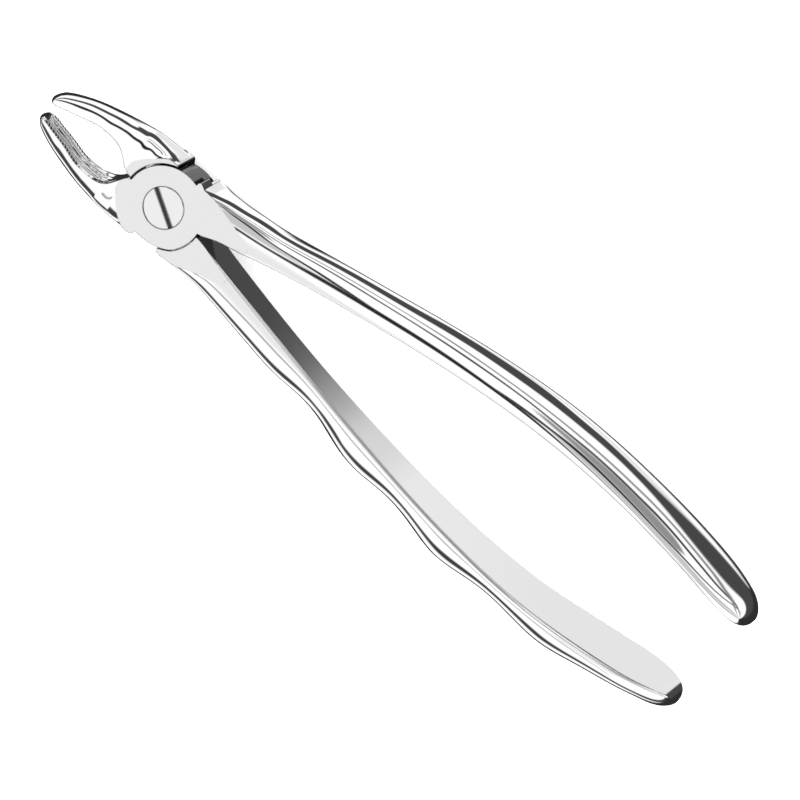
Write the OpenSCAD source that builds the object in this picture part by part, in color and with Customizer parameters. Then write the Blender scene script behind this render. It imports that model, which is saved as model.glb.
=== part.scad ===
/* [Joint] */
// Thickness of the lap joint, both leaves together
hub_t = 10; // [9:0.5:12]
// Radius of the round leaf of each half
disc_r = 8.7; // [8.5:0.1:8.9]
// Radius of the ground flank between jaw and handle
flank_r = 10.5; // [10:0.5:12]
// Distance from the pivot to the ground flank
flank_y = 8.0; // [7.8:0.1:8.2]
// Gap between the two sliding leaves
leaf_gap = 0.1; // [0.08:0.02:0.2]
// Gap around the round leaf, beside the jaw shoulder
shoulder_gap = 0.4; // [0.3:0.05:0.5]
// Gap around the round leaf, beside the handle root
root_gap = 0.2; // [0.15:0.05:0.3]

/* [Screw] */
// Diameter of the flush screw head
head_d = 8.7; // [7:0.1:10]
// Thickness of the screw head
head_t = 2.4; // [2:0.1:3]
// Diameter of the shank that the front half turns on
shank_d = 5.2; // [4.5:0.1:6]
// Diameter of the threaded end
thread_d = 5; // [4.5:0.1:5]
// Distance between two turns of the thread
thread_pitch = 0.8; // [0.7:0.1:1]
// Depth of the thread
thread_depth = 0.4; // [0.3:0.05:0.45]
// Radial running clearance of head and shank
run_clear = 0.05; // [0.03:0.01:0.08]
// Width of the driver slot
slot_w = 1.0; // [0.8:0.1:1.4]
// Depth of the driver slot
slot_depth = 1.2; // [0.8:0.1:1.5]
// Direction of the driver slot, in degrees
slot_angle = -34; // [-90:1:90]

/* [Jaws] */
// Distance from the pivot to the beak tips
jaw_len = 32.2; // [31:0.1:33]
// Number of serrations along each rim
teeth = 14; // [8:1:18]
// Distance between two serrations
tooth_pitch = 0.765; // [0.6:0.005:0.8]
// Depth of the serrations
tooth_depth = 0.3; // [0.1:0.05:0.4]
// Depth of the hollow in each beak
hollow_depth = 1.2; // [0.8:0.1:1.4]

/* [Handles] */
// Distance from the pivot to the end of the smooth palm handle
palm_len = 144.6; // [135:0.1:150]
// Distance from the pivot to the end of the grooved finger handle
finger_len = 142.2; // [135:0.1:150]
// How far the flat inner face is rounded over at its edges
edge_round = 0.7; // [0.7:0.1:1]

/* [Hidden] */
$fn = 96;

mid = hub_t / 2;
// Serrations run from here towards the pivot.
tooth_0 = -19.6 - teeth * tooth_pitch;
bead = 0.1;
steel = "silver";

// Stations along each limb: x, inner y, outer y, half width, squareness of the outer side.
FRONT_JAW = [
  [-32.2, -2.3, -3.9, 2.8, 2.0], [-30.8, -2.2, -4.95, 3.0, 2.0], [-28, -2.8, -6.45, 3.2, 2.0],
  [-24, -3.8, -7.9, 3.35, 2.0], [-20.5, -4.85, -8.8, 3.7, 2.1], [-18.4, -5.05, -9.25, 3.95, 2.2],
  [-15.3, -4.95, -9.65, 4.3, 2.5], [-13.4, -4.35, -9.7, 4.65, 2.9], [-12.2, -3.4, -9.75, 4.85, 3.2],
  [-10.6, -1.1, -9.95, 5.0, 3.6], [-9.6, 0.2, -10.0, 5.0, 3.8], [-8, 0.35, -9.95, 5.0, 4.0],
  [-5, 0.35, -9.5, 5.0, 4.2], [-3, 0.35, -9.05, 5.0, 4.5]];
REAR_JAW = [
  [-32.3, 1.4, 2.9, 2.8, 2.0], [-30.8, 1.35, 4.1, 3.0, 2.0], [-28.2, 2.0, 5.55, 3.2, 2.0],
  [-24.2, 3.15, 7.15, 3.35, 2.0], [-20.5, 4.15, 8.15, 3.7, 2.1], [-18.0, 4.3, 8.7, 3.95, 2.2],
  [-16, 4.15, 9.05, 4.25, 2.4], [-14, 3.45, 9.35, 4.55, 2.8], [-12.2, 2.0, 9.55, 4.85, 3.2],
  [-11, 1.1, 9.7, 5.0, 3.5], [-9.6, 0.6, 9.75, 5.0, 3.8], [-8, 0.55, 9.65, 5.0, 4.0],
  [-5, 0.55, 9.55, 5.0, 4.2], [-3, 0.55, 9.05, 5.0, 4.5]];
PALM = [
  [4.5, 0.3, 8.6, 5.0, 8.0], [6.5, 0.3, 8.7, 5.0, 7.5], [9, 0.3, 9.0, 5.0, 7.0], [12, 1.4, 9.3, 5.0, 6.0],
  [16, 2.2, 9.8, 4.8, 4.0], [20, 3.15, 10.25, 4.6, 3.0], [30, 5.4, 12.1, 4.6, 2.15],
  [45, 8.25, 14.85, 5.1, 2.0], [60, 10.8, 17.4, 5.8, 2.0], [75, 12.85, 19.3, 6.75, 2.0],
  [90, 14.1, 20.2, 7.8, 2.0], [100, 14.3, 19.9, 8.5, 2.0], [112, 13.85, 18.75, 9.3, 2.0],
  [122, 12.9, 17.3, 9.9, 2.0], [131, 11.5, 15.65, 10.0, 2.0], [138, 9.8, 14.2, 9.8, 2.0],
  [144.6, 7.7, 12.7, 9.4, 2.0]];
FINGER = [
  [4.5, -0.35, -8.6, 5.0, 8.0], [6.5, -0.35, -8.85, 5.0, 7.5], [9, -0.4, -9.15, 5.0, 7.0],
  [12, -1.0, -9.35, 5.0, 6.0], [16, -2.0, -9.95, 4.8, 4.0], [20, -2.95, -10.8, 4.6, 3.0],
  [30, -5.4, -12.95, 4.6, 2.15], [38, -7.0, -14.25, 4.85, 2.0], [44, -8.3, -14.45, 5.1, 2.0],
  [49.5, -9.4, -15.35, 5.35, 2.0], [57, -10.75, -18.1, 5.7, 2.0], [62.5, -11.8, -19.15, 6.0, 2.0],
  [70, -13.1, -19.1, 6.45, 2.0], [76, -14.0, -20.0, 6.8, 2.0], [85, -15.0, -22.3, 7.4, 2.0],
  [91, -15.55, -22.0, 7.8, 2.0], [98, -15.85, -21.15, 8.35, 2.0], [105, -15.85, -21.65, 8.8, 2.0],
  [113, -15.45, -22.25, 9.45, 2.0], [122, -14.5, -20.6, 9.9, 2.0], [130, -13.5, -18.95, 10.0, 2.0],
  [136, -12.7, -17.7, 9.8, 2.0], [142.2, -12.1, -16.8, 9.4, 2.0]];
jaw_scale = -jaw_len / FRONT_JAW[0][0];
palm_scale = palm_len / PALM[len(PALM) - 1][0];
finger_scale = finger_len / FINGER[len(FINGER) - 1][0];

// Smooth curve through column c of a station table.
function span(t, x, i = 0) = i >= len(t) - 2 || x < t[i + 1][0] ? i : span(t, x, i + 1);
function tilt(t, i, c) =
  let (a = t[max(i - 1, 0)], b = t[min(i + 1, len(t) - 1)]) (b[c] - a[c]) / (b[0] - a[0]);
function at(t, x, c) =
  let (i = span(t, x), a = t[i], b = t[i + 1], h = b[0] - a[0], u = (x - a[0]) / h, v = 1 - u)
  a[c] * (1 + 2 * u) * v * v + tilt(t, i, c) * h * u * v * v
  + b[c] * (3 - 2 * u) * u * u - tilt(t, i + 1, c) * h * u * u * v;

// Factor that rounds a limb off between x0 and its end x1.
function taper(x, x0, x1, p) =
  let (u = max(0, (x - x0) / (x1 - x0))) pow(max(0, 1 - pow(u, p)), 1 / p);
function sgn_pow(v, p) = sign(v) * pow(abs(v), p);

// Ring of points across a handle: rounded outer side, flat inner face with rounded edges.
function handle_ring(t, x, x_end, reach) =
  let (side = sign(at(t, x_end / 2, 2) - at(t, x_end / 2, 1)),
       e = taper(x, x_end - 5, x_end + reach, 2.4),
       w = at(t, x, 3) * taper(x, x_end - 13.5, x_end + reach, 2.3),
       full = abs(at(t, x, 2) - at(t, x, 1)),
       f = edge_round * e,
       base = at(t, x, 1) + side * (edge_round + 0.35 * (full - edge_round) * (1 - e)),
       out = (full - edge_round) * e * (1 - 0.35 * (1 - e)),
       n = at(t, x, 4))
  [for (i = [0:19])
    let (a = i < 12 ? -90 + i * 15 : 90 + (i - 12) * 22.5, outer = i < 12,
         y = outer ? out * pow(abs(cos(a)), 2 / n) : -f * pow(abs(cos(a)), 1 / 3),
         z = w * sgn_pow(sin(a), outer ? 2 / n : 1 / 3))
    [x, base + side * y, mid + z]];

// Ring of points across a beak: rounded back, two serrated rims and a hollow between them.
function tooth(x) =
  let (k = (x - tooth_0) / tooth_pitch) k < 0 || k > teeth ? 0 : 1 - abs(2 * (k - floor(k)) - 1);
function beak_ring(t, x, x_end) =
  let (side = sign(at(t, -20, 2) - at(t, -20, 1)),
       e = taper(-x, -x_end - 1.6, -x_end + 0.02, 2.2),
       w = at(t, x, 3) * e,
       rim = at(t, x, 1) + side * 0.5 * (1 - e),
       notch = side * tooth_depth * tooth(x),
       out = (abs(at(t, x, 2) - at(t, x, 1)) - 0.25) * e,
       n = at(t, x, 4),
       deep = hollow_depth * taper(x, -17, -11.9, 2.5) * taper(-x, 27, 31, 2))
  concat(
    [for (i = [0:14]) let (a = -90 + i * 180 / 14)
      [x, rim + side * (0.25 * e + out * pow(abs(cos(a)), 2 / n)), mid + w * sgn_pow(sin(a), 2 / n)]],
    [for (i = [0:10]) let (s = 1 - i / 5, q = abs(s) * 0.93)
      [x, rim + notch + side * deep * (1 - pow(min(1, q / 0.76), 2.4)), mid + w * sign(s) * q]]);

// Solid skin over a list of rings, each end closed by a fan around its middle.
function middle(r) = [for (c = [0:2]) let (v = [for (p = r) p[c]]) (max(v) + min(v)) / 2];
function winding(r) = sign([for (i = [0:len(r) - 1]) let (a = r[i], b = r[(i + 1) % len(r)])
  a[1] * b[2] - a[2] * b[1]] * [for (p = r) 1]);
module loft(rings) {
  n = len(rings[0]);
  m = len(rings);
  last = (m - 1) * n;
  walls = [for (j = [0:m - 2]) for (i = [0:n - 1]) let (a = j * n + i, b = j * n + (i + 1) % n)
    each [[a, b, b + n], [a, b + n, a + n]]];
  ends = [for (i = [0:n - 1]) let (k = (i + 1) % n)
    each [[i, m * n, k], [last + i, last + k, m * n + 1]]];
  outward = winding(rings[1]) * sign(rings[1][0][0] - rings[0][0][0]) < 0;
  polyhedron(concat([for (r = rings) each r], [middle(rings[0]), middle(rings[m - 1])]),
    [for (f = concat(walls, ends)) outward ? f : [f[2], f[1], f[0]]], convexity = 8);
}

module handle(t) {
  x_end = t[len(t) - 1][0];
  reach = 0.02;
  xs = concat([4.5, 6.5], [for (x = [9:4:x_end - 18]) x],
    [for (d = [16, 13, 10, 8, 6, 4.5, 3, 2, 1.2, 0.6, 0.2, 0]) x_end - d]);
  loft([for (x = xs) handle_ring(t, x, x_end, reach)]);
}

module beak(t) {
  x_end = t[0][0];
  xs = concat([for (d = [0, 0.1, 0.3, 0.6, 1, 1.5]) x_end + d],
    [for (k = [0:2 * teeth]) tooth_0 + k * tooth_pitch / 2],
    [-19, -18, -17, -16, -15, -14.2, -13.4, -12.7, -12, -11.3, -10.6, -9.8, -8.5, -6, -3]);
  loft([for (x = xs) beak_ring(t, x, x_end)]);
}

// Outline of the round leaf in its own layer, grown by g, with the ground flank on -Y.
module leaf_outline(g = 0) {
  intersection() {
    circle(disc_r + g);
    translate([0.2, flank_r - flank_y]) circle(flank_r + g);
  }
}

// Flat of the joint beside the jaw, and beside the handle, for the half whose jaw is on -Y.
// The inner edge of the jaw's flat lies at height y.
module jaw_flat(y) {
  polygon([[-8, y], [-9.6, y], [-10.6, y - 0.95], [-10.2, -4.9], [-4.9, -8.95], [-2.8, -9.05],
    [-2.3, -8.8], [-1.95, -8.1], [-1.7, -7.5], [0, min(0, y)]]);
}
module root_flat(corner) {
  polygon(concat([[0, 0]], corner,
    [[5, 8.4], [7, 7.8], [9, 7.2], [11, 6.6], [11, 2.1], [10, 1.6], [9, 1.1], [8, 0.6], [7, 0.3]]));
}

// Both leaves' worth of steel at the joint, before the other half's room is cut away.
module joint_block(jaw_y) {
  linear_extrude(hub_t) jaw_flat(jaw_y);
  translate([0, 0, mid]) linear_extrude(mid) root_flat([[2.8, 8.3], [3.1, 9.2], [3.5, 9.25]]);
  linear_extrude(mid) root_flat([[3.65, 7.6], [3.75, 8.3], [4.2, 8.45]]);
}

// Room in the far layer for the other half's leaf.
module pocket() {
  linear_extrude(mid + leaf_gap / 2 + 8) {
    intersection() {
      circle(disc_r + shoulder_gap);
      translate([-20, -20]) square([20, 40]);
    }
    mirror([0, 1]) leaf_outline(root_gap);
  }
}

// One forged half with its leaf in the upper layer, its jaw on -Y and its handle on +Y.
module half(bored, jaw_y) {
  difference() {
    union() {
      children(0);
      children(1);
      joint_block(jaw_y);
      translate([0, 0, mid + leaf_gap / 2]) linear_extrude(mid - leaf_gap / 2) leaf_outline();
    }
    translate([0, 0, -8]) pocket();
    if (bored) screw_room();
    else thread_room();
  }
}

module screw_room() {
  translate([0, 0, hub_t - head_t - run_clear]) cylinder(d = head_d + 2 * run_clear, h = head_t + 1);
  translate([0, 0, mid - 1]) cylinder(d = shank_d + 2 * run_clear, h = hub_t);
}

module thread_room() {
  translate([0, 0, mid - 1]) cylinder(d = thread_d, h = hub_t);
}

module front_half() {
  color(steel)
    half(true, 0.35) {
      scale([jaw_scale, 1, 1]) beak(FRONT_JAW);
      scale([palm_scale, 1, 1]) handle(PALM);
    }
}

module flip() {
  translate([0, 0, hub_t]) rotate([180, 0, 0]) children();
}

module rear_half() {
  color(steel)
    flip()
      half(false, -0.55) {
        flip() scale([jaw_scale, 1, 1]) beak(REAR_JAW);
        flip() scale([finger_scale, 1, 1]) handle(FINGER);
      }
}

module pivot_screw() {
  shank_z = mid - leaf_gap / 2;
  turns = floor((shank_z - 0.6) / thread_pitch);
  color("gainsboro")
    difference() {
      rotate_extrude()
        polygon(concat(
          [[0, 0], [thread_d / 2 - bead, 0]],
          [for (k = [0:turns - 1]) each [
            [thread_d / 2, 0.3 + k * thread_pitch],
            [thread_d / 2, 0.45 + k * thread_pitch],
            [thread_d / 2 - thread_depth, 0.3 + (k + 0.5) * thread_pitch]]],
          [[thread_d / 2, shank_z - 0.2], [thread_d / 2, shank_z], [shank_d / 2, shank_z],
           [shank_d / 2, hub_t - head_t], [head_d / 2, hub_t - head_t], [head_d / 2, hub_t - bead],
           [head_d / 2 - bead, hub_t], [0, hub_t]]));
      rotate([0, 0, slot_angle])
        translate([-head_d, -slot_w / 2, hub_t - slot_depth]) cube([2 * head_d, slot_w, slot_depth + 1]);
    }
}

front_half();
rear_half();
pivot_screw();
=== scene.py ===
"""Extraction forceps: mirror-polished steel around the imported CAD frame."""

import math

import bmesh
import bpy
import numpy as np
from mathutils import Matrix, Vector


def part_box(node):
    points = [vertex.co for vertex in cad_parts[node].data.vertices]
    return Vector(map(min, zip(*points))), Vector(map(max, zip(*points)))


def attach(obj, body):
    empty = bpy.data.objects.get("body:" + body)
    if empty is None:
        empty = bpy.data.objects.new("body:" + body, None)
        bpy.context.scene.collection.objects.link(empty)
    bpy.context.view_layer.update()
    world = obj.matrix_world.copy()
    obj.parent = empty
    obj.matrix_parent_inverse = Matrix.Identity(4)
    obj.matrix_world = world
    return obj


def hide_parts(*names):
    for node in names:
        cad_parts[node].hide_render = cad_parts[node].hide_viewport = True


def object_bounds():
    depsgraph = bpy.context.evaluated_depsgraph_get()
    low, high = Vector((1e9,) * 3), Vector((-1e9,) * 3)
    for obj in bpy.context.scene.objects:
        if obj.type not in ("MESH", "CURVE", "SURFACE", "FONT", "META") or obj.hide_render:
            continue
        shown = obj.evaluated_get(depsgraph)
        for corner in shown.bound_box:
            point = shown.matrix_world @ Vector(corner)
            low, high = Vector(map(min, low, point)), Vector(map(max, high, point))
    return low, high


MM = 0.001

# ---------------------------------------------------------------- dimensions, in millimetres
LEAF_R = 8.7
FLANK_R = 10.5
FLANK_MID = (0.2, FLANK_R - 8.0)
LEAF_GAP = 0.1
SHOULDER_GAP = 0.4
ROOT_GAP = 0.2
HEAD_R = 4.35
HEAD_T = 2.4
SHANK_R = 2.6
THREAD_R = 2.5
THREAD_PITCH = 0.8
THREAD_DEPTH = 0.4
RUN_CLEAR = 0.05
SLOT_W = 1.0
SLOT_DEPTH = 1.2
SLOT_ANGLE = -34
TEETH = 14
TOOTH_PITCH = 0.765
TOOTH_DEPTH = 0.3
TOOTH_START = -19.6 - TEETH * TOOTH_PITCH
HOLLOW_DEPTH = 1.2
HOLLOW_EDGE = 0.76
RIM_REACH = 0.93
RIM_LIP = 0.25
RIDGE_HEIGHT = 0.2
RIDGE_PITCH = 0.2
EDGE_ROUND = 0.7
SCREW_EDGE = 0.12
OVERCUT = 0.6

# Stations along each limb: x, inner y, outer y, half width, squareness of the outer side.
# A half width beyond the joint's own half thickness is ground off level with the joint's faces.
FRONT_JAW = [
    (-32.2, -2.3, -3.9, 2.8, 2.0), (-30.8, -2.2, -4.95, 3.0, 2.0), (-28, -2.8, -6.45, 3.2, 2.0),
    (-24, -3.8, -7.9, 3.35, 2.0), (-20.5, -4.85, -8.8, 3.7, 2.1), (-18.4, -5.05, -9.25, 3.95, 2.2),
    (-15.3, -4.95, -9.65, 4.3, 2.5), (-13.4, -4.35, -9.78, 4.67, 2.85), (-12.2, -3.4, -9.86, 4.85, 3.1),
    (-10.6, -1.1, -9.95, 5.0, 3.4), (-9.6, 0.2, -9.98, 5.07, 3.6), (-8, 0.35, -9.93, 5.28, 3.85),
    (-5, 0.35, -9.5, 6.5, 4.2), (-3, 0.35, -9.05, 8.6, 4.4),
]
REAR_JAW = [
    (-32.3, 1.4, 2.9, 2.8, 2.0), (-30.8, 1.35, 4.1, 3.0, 2.0), (-28.2, 2.0, 5.55, 3.25, 2.0),
    (-24.2, 3.15, 7.15, 3.48, 2.0), (-20.5, 4.15, 8.15, 3.8, 2.1), (-18.0, 4.3, 8.7, 4.05, 2.2),
    (-16, 4.15, 9.05, 4.3, 2.4), (-14, 3.45, 9.35, 4.56, 2.75), (-12.2, 2.0, 9.57, 4.84, 3.1),
    (-11, 1.1, 9.68, 4.99, 3.35), (-9.6, 0.6, 9.73, 5.08, 3.6), (-8, 0.55, 9.68, 5.25, 3.85),
    (-5, 0.55, 9.43, 6.0, 4.2), (-3, 0.55, 9.05, 7.6, 4.4),
]
PALM = [
    (4.5, 0.3, 8.6, 9.0, 5.0), (6.5, 0.3, 8.7, 7.6, 4.4), (9, 0.3, 9.0, 6.3, 3.8), (12, 1.4, 9.3, 5.5, 3.4),
    (16, 2.2, 9.8, 5.14, 3.0), (20, 3.15, 10.25, 5.0, 2.75), (30, 5.4, 12.1, 4.88, 2.3),
    (45, 8.25, 14.85, 5.15, 2.05), (60, 10.8, 17.4, 5.8, 2.0), (75, 12.85, 19.3, 6.75, 2.0),
    (90, 14.1, 20.2, 7.8, 2.0), (100, 14.3, 19.9, 8.5, 2.0), (112, 13.85, 18.75, 9.3, 2.0),
    (122, 12.9, 17.3, 9.9, 2.0), (131, 11.5, 15.65, 10.0, 2.0), (138, 9.8, 14.2, 9.8, 2.0),
    (144.6, 7.7, 12.7, 9.4, 2.0),
]
FINGER = [
    (4.5, -0.35, -8.6, 9.0, 5.0), (6.5, -0.35, -8.85, 7.6, 4.4), (9, -0.4, -9.15, 6.3, 3.8),
    (12, -1.0, -9.35, 5.5, 3.4), (16, -2.0, -9.95, 5.14, 3.0), (20, -2.98, -10.8, 5.0, 2.75),
    (30, -5.35, -12.95, 4.88, 2.3), (38, -7.15, -14.25, 4.95, 2.1), (44, -8.43, -14.45, 5.12, 2.0),
    (49.5, -9.54, -15.35, 5.35, 2.0), (57, -10.95, -18.1, 5.7, 2.0), (62.5, -11.9, -19.15, 6.0, 2.0),
    (70, -13.12, -19.1, 6.45, 2.0), (76, -13.98, -20.0, 6.8, 2.0), (85, -15.0, -22.3, 7.4, 2.0),
    (91, -15.5, -22.0, 7.8, 2.0), (98, -15.85, -21.15, 8.35, 2.0), (105, -15.9, -21.65, 8.8, 2.0),
    (113, -15.45, -22.25, 9.45, 2.0), (122, -14.5, -20.6, 9.9, 2.0), (130, -13.5, -18.95, 10.0, 2.0),
    (136, -12.7, -17.7, 9.8, 2.0), (142.2, -12.1, -16.8, 9.4, 2.0),
]

# Painted dark reflections and painted shade: sharp edges are painted as thin dark lines, and the upright
# walls of the lap joint are painted dark grey. The steel's colour is darkened to these greys within the
# radius below of a sharp edge, and on upright walls within WALL_REACH of the pivot axis. These painted
# greys stand in for reflections and shade that the studio doesn't give.
PAINTED_EDGE_RADIUS = 0.34
PAINTED_EDGE_REFLECTION_GREY = 0.02
WALL_REACH = 9.15
PAINTED_WALL_SHADE_GREY = 0.08

# The studio as the steel sees it: brightness of the white tent, and of the room that everything else
# and the camera see.
TENT = 1.12
ROOM = 2.5
# Cards and gaps in the tent run along X, placed so that the bands in the steel fall where they should.
# Each has its brightness, the softness of its edges in degrees, and stations: direction x, and the
# lower and upper edge as angles about X from +Z to +Y. Where the lower edge is above the upper one
# there is no card. All angles lie within CARD_TURN.
CARD_TURN = 240
CARDS = [
    # Overhead softbox, a little less bright than the tent.
    (0.88, 8, [(-1, 20, -60), (-0.26, 0, -40), (-0.18, -32, -10), (-0.126, -34, -8), (-0.05, -34, -8),
               (0.1, -20, -20), (1, 20, -60)]),
    # Gap in front of the camera, and the dim side beyond it.
    (0.02, 2.5, [(-1, 37, 52), (-0.6, 35, 50), (-0.5, 29, 43), (-0.4, 19, 32), (-0.33, 12, 25),
                 (-0.26, 8, 19), (-0.22, 5, 13), (-0.1, 2, 9), (0, 1, 8), (0.1, 3, 10), (0.17, 7, 14),
                 (0.4, 12, 20)]),
    (0.6, 5, [(-1, 60, 10), (-0.3, 40, 15), (-0.25, 20, 28), (-0.2, 16, 38), (0, 12, 50), (0.1, 14, 56),
              (0.4, 25, 60)]),
    (0.02, 3, [(-1, 60, 10), (-0.33, 34, 20), (-0.3, 20, 32), (-0.26, 28, 38), (-0.2, 37, 50),
               (-0.1, 45, 58), (0, 52, 63), (0.1, 62, 74), (0.2, 70, 80), (0.4, 80, 88)]),
    (0.3, 6, [(-1, 90, 30), (-0.32, 64, 40), (-0.25, 50, 62), (-0.2, 52, 68), (-0.1, 58, 84),
              (0, 64, 100), (0.08, 72, 106), (0.16, 100, 80), (0.4, 110, 70)]),
    # Narrow gaps between the panels on the +Y side.
    (0.03, 2, [(-1, 80, 50), (-0.42, 70, 56), (-0.38, 57, 61), (-0.37, 57, 63), (-0.3, 64, 70),
               (-0.2, 70, 76), (-0.1, 84, 90), (0, 99, 105), (0.05, 107, 114), (0.1, 110, 117),
               (0.3, 107, 113)]),
    (0.25, 2, [(-1, 90, 60), (-0.42, 84, 74), (-0.37, 77.5, 82.5), (-0.3, 81.5, 86.5), (-0.2, 88.5, 93.5),
               (-0.1, 98.5, 103.5), (0, 113.5, 118.5), (0.05, 123, 128), (0.1, 126, 131), (0.3, 115, 120)]),
    # Wide dark flag low on the +Y side.
    (0.065, 3, [(-1, 60, 80), (-0.6, 78, 98), (-0.45, 84, 106), (-0.4, 92, 116), (-0.36, 103, 130),
                (-0.3, 112, 139), (-0.25, 115, 150), (-0.2, 118, 153), (-0.1, 124, 148), (-0.05, 130, 152),
                (0, 136, 153), (0.03, 138, 153), (0.1, 136, 150), (0.3, 130, 150), (1, 130, 150)]),
    (0.84, 4, [(-1, 170, 150), (-0.24, 170, 150), (-0.2, 155, 165), (0.1, 155, 165), (0.2, 170, 150),
               (1, 170, 150)]),
    (0.065, 7, [(-1, 190, 140), (-0.04, 190, 140), (-0.01, 140, 151), (0, 140, 153.5), (0.02, 140, 160),
                (0.045, 140, 169), (0.1, 140, 185), (1, 140, 200)]),
    # Dark ground under the object, seen from both sides.
    (0.03, 4, [(-1, 130, 230), (-0.6, 135, 230), (-0.4, 143, 230), (-0.3, 154, 230), (-0.25, 165, 230),
               (-0.2, 172, 230), (-0.1, 178, 230), (0, 175, 230), (0.1, 165, 230), (0.4, 160, 230)]),
    (0.03, 4, [(-1, -230, -100), (-0.5, -230, -106), (-0.34, -230, -112), (-0.3, -230, -115),
               (-0.2, -230, -125), (-0.1, -230, -130), (0, -230, -130), (0.1, -230, -126),
               (0.4, -230, -120)]),
    # Dark flag and narrow gap on the -Y side.
    (0.05, 6, [(-1, -90, -50), (-0.5, -90, -58), (-0.36, -92, -56), (-0.33, -93, -68), (-0.3, -94, -77),
               (-0.2, -100, -76), (-0.1, -106, -82), (0, -108, -88), (0.1, -112, -92), (0.4, -115, -95)]),
    (0.4, 2, [(-1, -30, -50), (-0.3, -30, -40), (-0.25, -38, -33), (-0.2, -40, -35), (-0.1, -48, -43),
              (-0.05, -54, -50), (0, -58, -54), (0.1, -50, -70), (0.4, -50, -70)]),
]

# The camera: its right and up directions, and the point and width, in millimetres, that it frames.
CAMERA_RIGHT = Vector((0.7680, 0.5541, -0.3213))
CAMERA_UP = Vector((-0.6280, 0.7500, -0.2078))
CAMERA_X_Y = (61.73, 0.24)
CAMERA_FIELD = 160
CAMERA_LENS = 400
CAMERA_SENSOR = 36
FLOOR_HALF = 3000
FLOOR_T = 2
FLOOR_GAP = 0.2

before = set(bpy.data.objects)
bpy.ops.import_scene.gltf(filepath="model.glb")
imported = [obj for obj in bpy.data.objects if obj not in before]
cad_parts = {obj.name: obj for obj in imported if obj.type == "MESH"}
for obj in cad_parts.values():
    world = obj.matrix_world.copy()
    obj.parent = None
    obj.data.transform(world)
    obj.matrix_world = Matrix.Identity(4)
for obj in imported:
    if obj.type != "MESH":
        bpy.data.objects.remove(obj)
CAD_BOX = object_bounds()
HUB_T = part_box("pivot_screw")[1].z / MM
MID = HUB_T / 2


# ---------------------------------------------------------------- curves
def spline(table, x, column):
    """Natural cubic spline through one column of a station table."""
    xs = np.array([row[0] for row in table], float)
    ys = np.array([row[column] for row in table], float)
    h = np.diff(xs)
    n = len(xs)
    a = np.eye(n)
    b = np.zeros(n)
    for i in range(1, n - 1):
        a[i, i - 1 : i + 2] = h[i - 1], 2 * (h[i - 1] + h[i]), h[i]
        b[i] = 6 * ((ys[i + 1] - ys[i]) / h[i] - (ys[i] - ys[i - 1]) / h[i - 1])
    m = np.linalg.solve(a, b)
    i = np.clip(np.searchsorted(xs, x) - 1, 0, n - 2)
    lo, hi, hh = x - xs[i], xs[i + 1] - x, h[i]
    return (
        m[i] * hi**3 / (6 * hh) + m[i + 1] * lo**3 / (6 * hh)
        + (ys[i] / hh - m[i] * hh / 6) * hi + (ys[i + 1] / hh - m[i + 1] * hh / 6) * lo
    )


def taper(x, x0, x1, power):
    """Factor that rounds a limb off between x0 and its end x1."""
    u = np.clip((x - x0) / (x1 - x0), 0, 1)
    return np.clip(1 - u**power, 0, 1) ** (1 / power)


def signed_power(v, power):
    return np.sign(v) * np.abs(v) ** power


def smooth_step(x, x0, x1):
    u = np.clip((x - x0) / (x1 - x0), 0, 1)
    return u * u * (3 - 2 * u)


# ---------------------------------------------------------------- meshes, built in millimetres
def solid(name, verts, faces):
    """Mesh object from points in millimetres, its faces turned outwards."""
    mesh = bpy.data.meshes.new(name)
    mesh.from_pydata([tuple(float(c) * MM for c in v) for v in verts], [], faces)
    bm = bmesh.new()
    bm.from_mesh(mesh)
    if bm.calc_volume(signed=True) < 0:
        bmesh.ops.reverse_faces(bm, faces=bm.faces)
    bm.to_mesh(mesh)
    bm.free()
    obj = bpy.data.objects.new(name, mesh)
    bpy.context.scene.collection.objects.link(obj)
    return obj


def loft(name, rings):
    """Closed skin over an array of rings, each end closed by a fan around its middle."""
    m, n, _ = rings.shape
    verts = rings.reshape(-1, 3).tolist()
    ends = [(r.min(0) + r.max(0)) / 2 for r in (rings[0], rings[-1])]
    verts += [e.tolist() for e in ends]
    last = (m - 1) * n
    faces = []
    for j in range(m - 1):
        for i in range(n):
            a, b = j * n + i, j * n + (i + 1) % n
            faces.append((a, b, b + n, a + n))
    for i in range(n):
        k = (i + 1) % n
        faces.append((k, i, m * n))
        faces.append((last + i, last + k, m * n + 1))
    return solid(name, verts, faces)


def prism(name, outline, z0, z1):
    """Straight solid over an outline."""
    n = len(outline)
    verts = [(x, y, z0) for x, y in outline] + [(x, y, z1) for x, y in outline]
    faces = [tuple(range(n - 1, -1, -1)), tuple(range(n, 2 * n))]
    faces += [(i, (i + 1) % n, n + (i + 1) % n, n + i) for i in range(n)]
    return solid(name, verts, faces)


def revolve(name, profile, steps=144):
    """Solid turned around the pivot axis. The profile starts and ends on the axis."""
    inner = profile[1:-1]
    n = len(inner)
    verts = []
    for s in range(steps):
        a = 2 * math.pi * s / steps
        verts += [(r * math.cos(a), r * math.sin(a), z) for r, z in inner]
    verts += [(0, 0, profile[0][1]), (0, 0, profile[-1][1])]
    faces = []
    for s in range(steps):
        a, b = s * n, (s + 1) % steps * n
        faces += [(a + i, b + i, b + i + 1, a + i + 1) for i in range(n - 1)]
        faces += [(b, a, steps * n), (a + n - 1, b + n - 1, steps * n + 1)]
    return solid(name, verts, faces)


def block(name, low, high):
    (x0, y0, z0), (x1, y1, z1) = low, high
    return prism(name, [(x0, y0), (x1, y0), (x1, y1), (x0, y1)], z0, z1)


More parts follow.
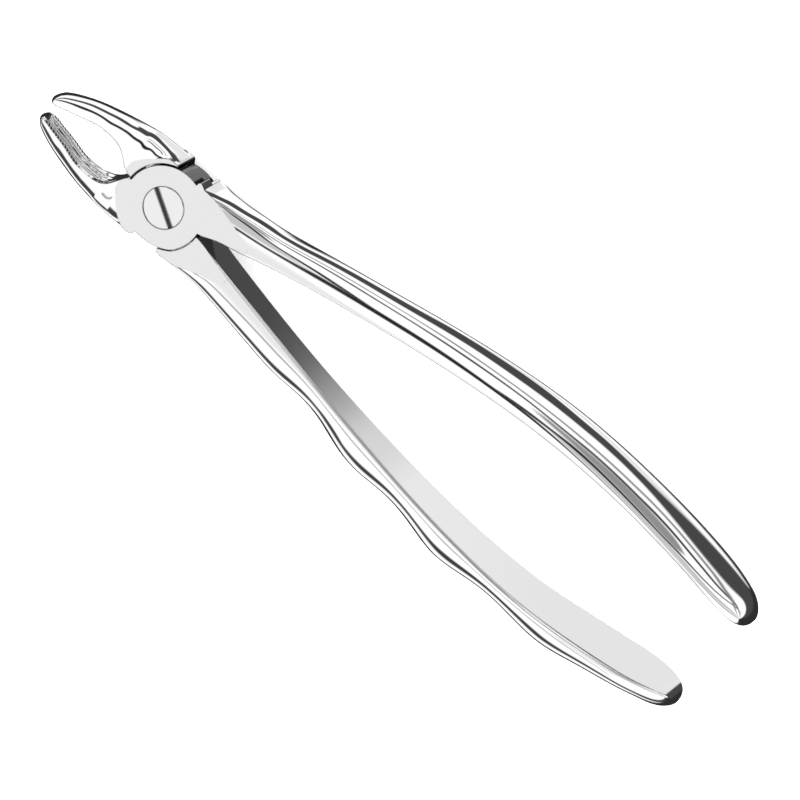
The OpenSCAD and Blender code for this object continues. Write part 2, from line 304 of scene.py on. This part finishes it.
def combine(base, tool, operation):
    """Exact boolean of two solids. The tool is used up."""
    mod = base.modifiers.new("cut", "BOOLEAN")
    mod.operation = operation
    mod.solver = "EXACT"
    mod.object = tool
    dg = bpy.context.evaluated_depsgraph_get()
    made = bpy.data.meshes.new_from_object(base.evaluated_get(dg))
    base.modifiers.clear()
    old = base.data
    base.data = made
    bpy.data.meshes.remove(old)
    old = tool.data
    bpy.data.objects.remove(tool)
    bpy.data.meshes.remove(old)
    return base


# ---------------------------------------------------------------- limbs
def ring_array(columns):
    return np.stack(np.broadcast_arrays(*columns), axis=-1)


def handle(name, table, outer_points=72, arc_points=10):
    """One handle: a rounded outer side, and a flat inner face with rounded edges."""
    start, x_end = table[0][0], table[-1][0]
    near_end = x_end - np.array([14, 12, 10.5, 9, 8, 7, 6, 5.2, 4.5, 3.8, 3.2, 2.6, 2.1, 1.6, 1.2,
                                 0.85, 0.55, 0.32, 0.15, 0.05, 0])
    xs = np.concatenate([np.arange(start, x_end - 15, 0.8), near_end])[:, None]
    inner, outer, width, square = (spline(table, xs, c) for c in (1, 2, 3, 4))
    side = math.copysign(1, table[-1][2])
    e = taper(xs, x_end - 5, x_end + 0.02, 2.4)
    w = width * taper(xs, x_end - 13.5, x_end + 0.02, 2.3)
    full = np.abs(outer - inner)
    base = inner + side * (EDGE_ROUND + 0.35 * (full - EDGE_ROUND) * (1 - e))
    depth = (full - EDGE_ROUND) * e * (1 - 0.35 * (1 - e))
    a = np.radians(np.linspace(-90, 90, outer_points))[None, :]
    y_out = depth * np.abs(np.cos(a)) ** (2 / square)
    z_out = w * signed_power(np.sin(a), 2 / square)
    b = np.radians(np.linspace(0, 90, arc_points))[None, 1:]
    corner_y, corner_z = -EDGE_ROUND * e * np.sin(b), w - EDGE_ROUND * e * (1 - np.cos(b))
    across = np.array([0.98, 0.6, 0.2, -0.2, -0.6, -0.98])[None, :]
    y_in = np.concatenate([corner_y, corner_y[:, -1:] + 0 * across, corner_y[:, ::-1]], axis=1)
    z_in = np.concatenate([corner_z, corner_z[:, -1:] * across, -corner_z[:, ::-1]], axis=1)
    y = base + side * np.concatenate([y_out, y_in], axis=1)
    z = MID + np.concatenate([z_out, z_in], axis=1)
    return loft(name, ring_array([xs, y, z]))


def tooth(x):
    """Height of the serrations at x, from 0 in a root to 1 on a crest."""
    k = (x - TOOTH_START) / TOOTH_PITCH
    return np.where((k < 0) | (k > TEETH), 0, 1 - np.abs(2 * (k - np.floor(k)) - 1))


def beak(name, table, outer_points=64):
    """One jaw: a rounded back, two serrated rims, and a hollow with lengthwise grooves."""
    tip = table[0][0]
    xs = np.concatenate([
        tip + np.array([0, 0.04, 0.12, 0.24, 0.4, 0.6, 0.85, 1.1, 1.4]),
        TOOTH_START + np.arange(2 * TEETH * 3 + 1) * TOOTH_PITCH / 6,
        np.arange(-19.3, -12.6, 0.3), np.arange(-12.5, -9, 0.15), np.arange(-9, -3, 0.4), [-3],
    ])[:, None]
    inner, outer, width, square = (spline(table, xs, c) for c in (1, 2, 3, 4))
    side = math.copysign(1, table[-1][2])
    e = taper(-xs, -tip - 1.6, -tip + 0.02, 2.2)
    w = width * e
    rim = inner + side * 0.5 * (1 - e)
    depth = (np.abs(outer - inner) - RIM_LIP) * e
    a = np.radians(np.linspace(-90, 90, outer_points))[None, :]
    y_out = rim + side * (RIM_LIP * e + depth * np.abs(np.cos(a)) ** (2 / square))
    z_out = w * signed_power(np.sin(a), 2 / square)
    s = np.linspace(1, -1, 49)[None, :]
    q = np.abs(s) * RIM_REACH
    fade = taper(xs, -17, -11.9, 2.5) * taper(-xs, 27, 31, 2)
    hollow = HOLLOW_DEPTH * fade * (1 - np.minimum(1, q / HOLLOW_EDGE) ** 2.4)
    notch = TOOTH_DEPTH * tooth(xs) * smooth_step(q, 0.7, 0.78)
    grooved = RIDGE_HEIGHT * fade * (1 - smooth_step(q, 0.62, 0.7))
    ridges = grooved * np.abs(np.sin(q * math.pi / RIDGE_PITCH))
    y_in = rim + side * (hollow + notch - ridges)
    z_in = w * np.sign(s) * q
    y = np.concatenate([y_out, y_in], axis=1)
    z = MID + np.concatenate([z_out, z_in], axis=1)
    return loft(name, ring_array([xs, y, z]))


# ---------------------------------------------------------------- the lap joint
def arc(radius, start, end, steps):
    angles = np.radians(np.linspace(start, end, steps))
    return [(radius * math.cos(t), radius * math.sin(t)) for t in angles]


def leaf_outline(grow=0.0, steps=240):
    """Round leaf with its ground flank on -Y, as the nearer of two circles in every direction."""
    points = []
    r_flank = FLANK_R + grow
    for t in np.linspace(0, 2 * math.pi, steps, endpoint=False):
        d = np.array([math.cos(t), math.sin(t)])
        along = float(d @ FLANK_MID)
        reach = along + math.sqrt(r_flank**2 - (FLANK_MID[0] ** 2 + FLANK_MID[1] ** 2) + along**2)
        points.append(tuple(d * min(LEAF_R + grow, reach)))
    return points


def pocket(name):
    """Room in the far layer for the other half's leaf, with more room beside the jaw's shoulder."""
    low, high = -8, MID + LEAF_GAP / 2
    wide = prism(name, arc(LEAF_R + SHOULDER_GAP, 90, 270, 120), low, high)
    narrow = [(x, -y) for x, y in leaf_outline(ROOT_GAP)]
    return combine(wide, prism(name, narrow, low, high), "UNION")


def jaw_corner(name, inner_y):
    """Full-thickness corner at the end of the jaw's shoulder."""
    outline = [(-7, inner_y), (-7, -7.4), (-4.9, -8.95), (-3.5, -9.05), (-2.8, -9.0), (-2.45, -8.88),
               (-2.2, -8.6), (-1.95, -8.1), (-1.7, -7.5), (0, min(0, inner_y))]
    return prism(name, outline, -OVERCUT, HUB_T + OVERCUT)


def root_block(name, corner, z0, z1):
    """Handle root in one layer, up to the corner where the jaw's shoulder would stop it."""
    outline = [(0, 0)] + corner + [(5, 8.4), (7, 7.8), (9, 7.0), (9, 1.1), (8, 0.6), (7, 0.3)]
    return prism(name, outline, z0, z1)


def joint_solids(prefix, inner_y):
    """Steel of one half at the joint, leaf in the upper layer, before the other's room is cut."""
    near_corner = [(2.8, 8.3), (2.9, 8.8), (3.1, 9.15), (3.3, 9.25), (3.6, 9.2)]
    far_corner = [(3.65, 7.6), (3.7, 8.1), (3.9, 8.4), (4.2, 8.45)]
    return [
        jaw_corner(prefix + "jaw", inner_y),
        root_block(prefix + "near", near_corner, MID, HUB_T + OVERCUT),
        root_block(prefix + "far", far_corner, -OVERCUT, MID),
        prism(prefix + "leaf", leaf_outline(), MID + LEAF_GAP / 2, HUB_T + OVERCUT),
    ]


def bore(name, screw_side):
    """Counterbore and running bore of the front half, or the threaded hole of the rear half."""
    if screw_side:
        floor = HUB_T - HEAD_T - RUN_CLEAR
        profile = [(0, MID - 1), (SHANK_R + RUN_CLEAR, MID - 1), (SHANK_R + RUN_CLEAR, floor),
                   (HEAD_R + RUN_CLEAR, floor), (HEAD_R + RUN_CLEAR, HUB_T + 1), (0, HUB_T + 1)]
    else:
        profile = [(0, MID - 1), (THREAD_R, MID - 1), (THREAD_R, HUB_T + 1), (0, HUB_T + 1)]
    return revolve(name, profile)


FLIP = Matrix.Translation((0, 0, HUB_T * MM)) @ Matrix.Rotation(math.pi, 4, "X")


def build_half(name, jaw_table, handle_table, inner_y, screw_side):
    """Jaw, leaf and handle as one forging. The rear half's joint is the front's, turned over."""
    turn = Matrix.Identity(4) if screw_side else FLIP
    half = beak(name, jaw_table)
    combine(half, handle(name + "_handle", handle_table), "UNION")
    for part in joint_solids(name + "_", inner_y):
        part.data.transform(turn)
        combine(half, part, "UNION")
    for z0, z1 in ((HUB_T, 30), (-30, 0)):
        combine(half, block("grind", (-14, -14, z0), (19, 14, z1)), "DIFFERENCE")
    for cutter in (pocket("pocket"), bore("bore", screw_side)):
        cutter.data.transform(turn)
        combine(half, cutter, "DIFFERENCE")
    return half


def shade(obj, sharp_degrees=28):
    """Smooth curved faces, true flats, and crisp edges where faces meet at an angle."""
    mesh = obj.data
    flat = [abs(p.normal.z) > 0.99999 for p in mesh.polygons]
    mesh.shade_smooth()
    mesh.set_sharp_from_angle(angle=math.radians(sharp_degrees))
    for p, is_flat in zip(mesh.polygons, flat):
        if is_flat:
            p.use_smooth = False


def build_screw():
    """Flush slotted head, shank, and a threaded end."""
    shank_z = MID - LEAF_GAP / 2
    turns = int((shank_z - 0.6) / THREAD_PITCH)
    profile = [(0, 0), (THREAD_R - SCREW_EDGE, 0)]
    for k in range(turns):
        z = 0.3 + k * THREAD_PITCH
        root = (THREAD_R - THREAD_DEPTH, z + THREAD_PITCH / 2)
        profile += [(THREAD_R, z), (THREAD_R, z + 0.15), root]
    profile += [(THREAD_R, shank_z - 0.2), (THREAD_R, shank_z), (SHANK_R, shank_z),
                (SHANK_R, HUB_T - HEAD_T), (HEAD_R, HUB_T - HEAD_T), (HEAD_R, HUB_T - SCREW_EDGE),
                (HEAD_R - SCREW_EDGE * 0.3, HUB_T - SCREW_EDGE * 0.3), (HEAD_R - SCREW_EDGE, HUB_T),
                (0, HUB_T)]
    screw = revolve("slotted_pivot_screw", profile)
    half_w = SLOT_W / 2
    wide_w = half_w + SCREW_EDGE
    slot = [(-half_w, HUB_T - SLOT_DEPTH), (half_w, HUB_T - SLOT_DEPTH), (half_w, HUB_T - 0.08),
            (wide_w, HUB_T + 0.04), (wide_w, HUB_T + 1), (-wide_w, HUB_T + 1),
            (-wide_w, HUB_T + 0.04), (-half_w, HUB_T - 0.08)]
    reach = HEAD_R + 1
    n = len(slot)
    verts = [(-reach, y, z) for y, z in slot] + [(reach, y, z) for y, z in slot]
    faces = [tuple(range(n)), tuple(range(2 * n - 1, n - 1, -1))]
    faces += [(i, (i + 1) % n, n + (i + 1) % n, n + i) for i in range(n)]
    cutter = solid("slot", verts, faces)
    cutter.data.transform(Matrix.Rotation(math.radians(SLOT_ANGLE), 4, "Z"))
    return combine(screw, cutter, "DIFFERENCE")


# ---------------------------------------------------------------- node helpers
def math_node(nodes, links, operation, *values):
    node = nodes.new("ShaderNodeMath")
    node.operation = operation
    for socket, value in zip(node.inputs, values):
        if isinstance(value, (int, float)):
            socket.default_value = value
        else:
            links.new(value, socket)
    return node.outputs[0]


def edge(nodes, links, value, softness):
    """0 below zero, 1 above, with a soft step of the given half width."""
    step = nodes.new("ShaderNodeMapRange")
    step.interpolation_type = "SMOOTHSTEP"
    step.inputs["From Min"].default_value = -softness
    step.inputs["From Max"].default_value = softness
    links.new(value, step.inputs["Value"])
    return step.outputs[0]


def blend(nodes, links, factor, low, high):
    mix = nodes.new("ShaderNodeMix")
    for socket, value in zip((mix.inputs[0], mix.inputs[2], mix.inputs[3]), (factor, low, high)):
        if isinstance(value, (int, float)):
            socket.default_value = value
        else:
            links.new(value, socket)
    return mix.outputs[0]


# ---------------------------------------------------------------- materials
def new_material(name):
    mat = bpy.data.materials.new(name)
    mat.use_nodes = True
    nodes = mat.node_tree.nodes
    return mat, nodes, mat.node_tree.links, nodes["Principled BSDF"]


def add(nodes, kind, **inputs):
    node = nodes.new(kind)
    for key, value in inputs.items():
        node.inputs[key.replace("_", " ")].default_value = value
    return node


def mix_colour(nodes, links, factor, low, high):
    """Blend from one colour, or another node's colour, to a second colour."""
    mix = nodes.new("ShaderNodeMix")
    mix.data_type = "RGBA"
    links.new(factor, mix.inputs[0])
    if isinstance(low, tuple):
        mix.inputs[6].default_value = (*low, 1)
    else:
        links.new(low, mix.inputs[6])
    mix.inputs[7].default_value = (*high, 1)
    return mix.outputs[2]


def separate(nodes, links, vector):
    node = nodes.new("ShaderNodeSeparateXYZ")
    links.new(vector, node.inputs[0])
    return node.outputs


def painted_joint_shade_mask(nodes, links, coords, shape):
    """Mask for painted shade: 1 on the upright walls inside the lap joint, 0 elsewhere."""
    x, y, _ = separate(nodes, links, coords.outputs["Object"])
    y_squared = math_node(nodes, links, "MULTIPLY", y, y)
    reach = math_node(nodes, links, "SQRT", math_node(nodes, links, "MULTIPLY_ADD", x, x, y_squared))
    inside = math_node(nodes, links, "LESS_THAN", reach, WALL_REACH * MM)
    tilt = math_node(nodes, links, "ABSOLUTE", separate(nodes, links, shape.outputs["Normal"])[2])
    upright = math_node(nodes, links, "LESS_THAN", tilt, 0.5)
    return math_node(nodes, links, "MULTIPLY", inside, upright)


def painted_edge_reflection_mask(nodes, links, shape):
    """Mask for painted dark reflections: 1 beside sharp edges, where a rounded normal would turn away from
    the face.
    """
    rounded = add(nodes, "ShaderNodeBevel", Radius=PAINTED_EDGE_RADIUS * MM)
    rounded.samples = 6
    facing = nodes.new("ShaderNodeVectorMath")
    facing.operation = "DOT_PRODUCT"
    links.new(rounded.outputs["Normal"], facing.inputs[0])
    links.new(shape.outputs["Normal"], facing.inputs[1])
    mask = nodes.new("ShaderNodeMapRange")
    mask.interpolation_type = "SMOOTHSTEP"
    for key, value in (("From Min", 0.985), ("From Max", 0.9), ("To Min", 0.0), ("To Max", 1.0)):
        mask.inputs[key].default_value = value
    links.new(facing.outputs["Value"], mask.inputs["Value"])
    return mask.outputs[0]


def polished_steel(name, tint, roughness, grain):
    """Mirror-polished stainless steel: faint haze, hairlines, painted dark reflections on sharp edges and
    painted shade on the joint walls.
    """
    mat, nodes, links, shader = new_material(name)
    shader.inputs["Metallic"].default_value = 1.0
    coords = nodes.new("ShaderNodeTexCoord")
    shape = nodes.new("ShaderNodeNewGeometry")
    stretch = nodes.new("ShaderNodeMapping")
    stretch.inputs["Scale"].default_value = grain
    links.new(coords.outputs["Object"], stretch.inputs["Vector"])
    hairline = add(nodes, "ShaderNodeTexNoise", Scale=1.0, Detail=6.0, Roughness=0.65)
    links.new(stretch.outputs["Vector"], hairline.inputs["Vector"])
    haze = add(nodes, "ShaderNodeTexNoise", Scale=90.0, Detail=3.0, Roughness=0.55)
    links.new(coords.outputs["Object"], haze.inputs["Vector"])
    rough = nodes.new("ShaderNodeMapRange")
    rough.inputs["To Min"].default_value = roughness * 0.6
    rough.inputs["To Max"].default_value = roughness * 1.6
    links.new(haze.outputs["Fac"], rough.inputs["Value"])
    links.new(rough.outputs["Result"], shader.inputs["Roughness"])
    dull = tuple(c * 0.97 for c in tint)
    colour = mix_colour(nodes, links, hairline.outputs["Fac"], dull, tint)
    # Painted dark reflections: the steel is painted near-black along sharp edges.
    colour = mix_colour(nodes, links, painted_edge_reflection_mask(nodes, links, shape), colour, (PAINTED_EDGE_REFLECTION_GREY,) * 3)
    # Painted shade: the lap joint's upright walls are painted dark grey.
    colour = mix_colour(nodes, links, painted_joint_shade_mask(nodes, links, coords, shape), colour,
                        (PAINTED_WALL_SHADE_GREY,) * 3)
    links.new(colour, shader.inputs["Base Color"])
    bump = add(nodes, "ShaderNodeBump", Strength=0.012, Distance=0.0001)
    links.new(hairline.outputs["Fac"], bump.inputs["Height"])
    links.new(bump.outputs["Normal"], shader.inputs["Normal"])
    return mat


def floor_material():
    mat, nodes, links, shader = new_material("studio_paper")
    noise = add(nodes, "ShaderNodeTexNoise", Scale=40.0, Detail=4.0)
    colour = mix_colour(nodes, links, noise.outputs["Fac"], (0.93,) * 3, (0.95,) * 3)
    links.new(colour, shader.inputs["Base Color"])
    shader.inputs["Roughness"].default_value = 0.9
    return mat


# ---------------------------------------------------------------- studio
def around(nodes, links, x, points, column):
    """Angle of one edge of a card, as a smooth curve over the direction's x."""
    curve = nodes.new("ShaderNodeFloatCurve")
    line = curve.mapping.curves[0]
    while len(line.points) < len(points):
        line.points.new(0.5, 0.5)
    for point, row in zip(line.points, points):
        point.location = ((row[0] + 1) / 2, (row[column] + CARD_TURN) / (2 * CARD_TURN))
        point.handle_type = "AUTO_CLAMPED"
    curve.mapping.update()
    links.new(math_node(nodes, links, "MULTIPLY_ADD", x, 0.5, 0.5), curve.inputs["Value"])
    return math_node(nodes, links, "MULTIPLY_ADD", curve.outputs[0], 2 * CARD_TURN, -CARD_TURN)


def studio_world():
    """White room for the camera. The steel mirrors a bright tent with dark cards and gaps in it."""
    world = bpy.data.worlds.new("studio")
    bpy.context.scene.world = world
    world.use_nodes = True
    nodes, links = world.node_tree.nodes, world.node_tree.links
    x, y, z = separate(nodes, links, nodes.new("ShaderNodeTexCoord").outputs["Generated"])
    turn = math_node(nodes, links, "MULTIPLY", math_node(nodes, links, "ARCTAN2", y, z), math.degrees(1))
    tent = TENT
    for grey, softness, points in CARDS:
        low, high = (around(nodes, links, x, points, c) for c in (1, 2))
        above = edge(nodes, links, math_node(nodes, links, "SUBTRACT", turn, low), softness)
        below = edge(nodes, links, math_node(nodes, links, "SUBTRACT", high, turn), softness)
        tent = blend(nodes, links, math_node(nodes, links, "MULTIPLY", above, below), tent, grey)
    path = nodes.new("ShaderNodeLightPath")
    seen = blend(nodes, links, path.outputs["Is Glossy Ray"], ROOM, tent)
    links.new(seen, nodes["Background"].inputs["Strength"])
    nodes["Background"].inputs["Color"].default_value = (1, 1, 1, 1)


def studio_floor():
    top = CAD_BOX[0].z / MM - FLOOR_GAP
    floor = block("floor", (-FLOOR_HALF, -FLOOR_HALF, top - FLOOR_T), (FLOOR_HALF, FLOOR_HALF, top))
    floor.data.materials.append(floor_material())
    floor.visible_glossy = False


def studio_camera():
    back = CAMERA_RIGHT.cross(CAMERA_UP).normalized()
    up = back.cross(CAMERA_RIGHT).normalized()
    data = bpy.data.cameras.new("camera")
    data.sensor_width = CAMERA_SENSOR
    data.lens = CAMERA_LENS
    distance = CAMERA_FIELD * data.lens / data.sensor_width
    camera = bpy.data.objects.new("camera", data)
    bpy.context.scene.collection.objects.link(camera)
    place = Matrix((CAMERA_RIGHT, up, back)).transposed().to_4x4()
    place.translation = (Vector((*CAMERA_X_Y, HUB_T)) + back * distance) * MM
    camera.matrix_world = place
    data.clip_start, data.clip_end = 0.01, 100
    bpy.context.scene.camera = camera


# ---------------------------------------------------------------- the object
def finish_piece(obj, body, node, material):
    obj.data.materials.clear()
    obj.data.materials.append(material)
    shade(obj)
    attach(obj, body)
    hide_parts(node)


def main():
    steel = polished_steel("polished_steel", (0.93, 0.93, 0.935), 0.04, (40, 400, 400))
    turned = polished_steel("screw_steel", (0.96, 0.96, 0.96), 0.09, (300, 300, 300))
    front = build_half("front_forging", FRONT_JAW, PALM, 0.35, True)
    rear = build_half("rear_forging", REAR_JAW, FINGER, -0.55, False)
    finish_piece(front, "front", "front_half", steel)
    finish_piece(rear, "rear", "rear_half", steel)
    finish_piece(build_screw(), "rear", "pivot_screw", turned)
    studio_world()
    studio_floor()
    studio_camera()
    bpy.context.scene.view_settings.view_transform = "Standard"


main()
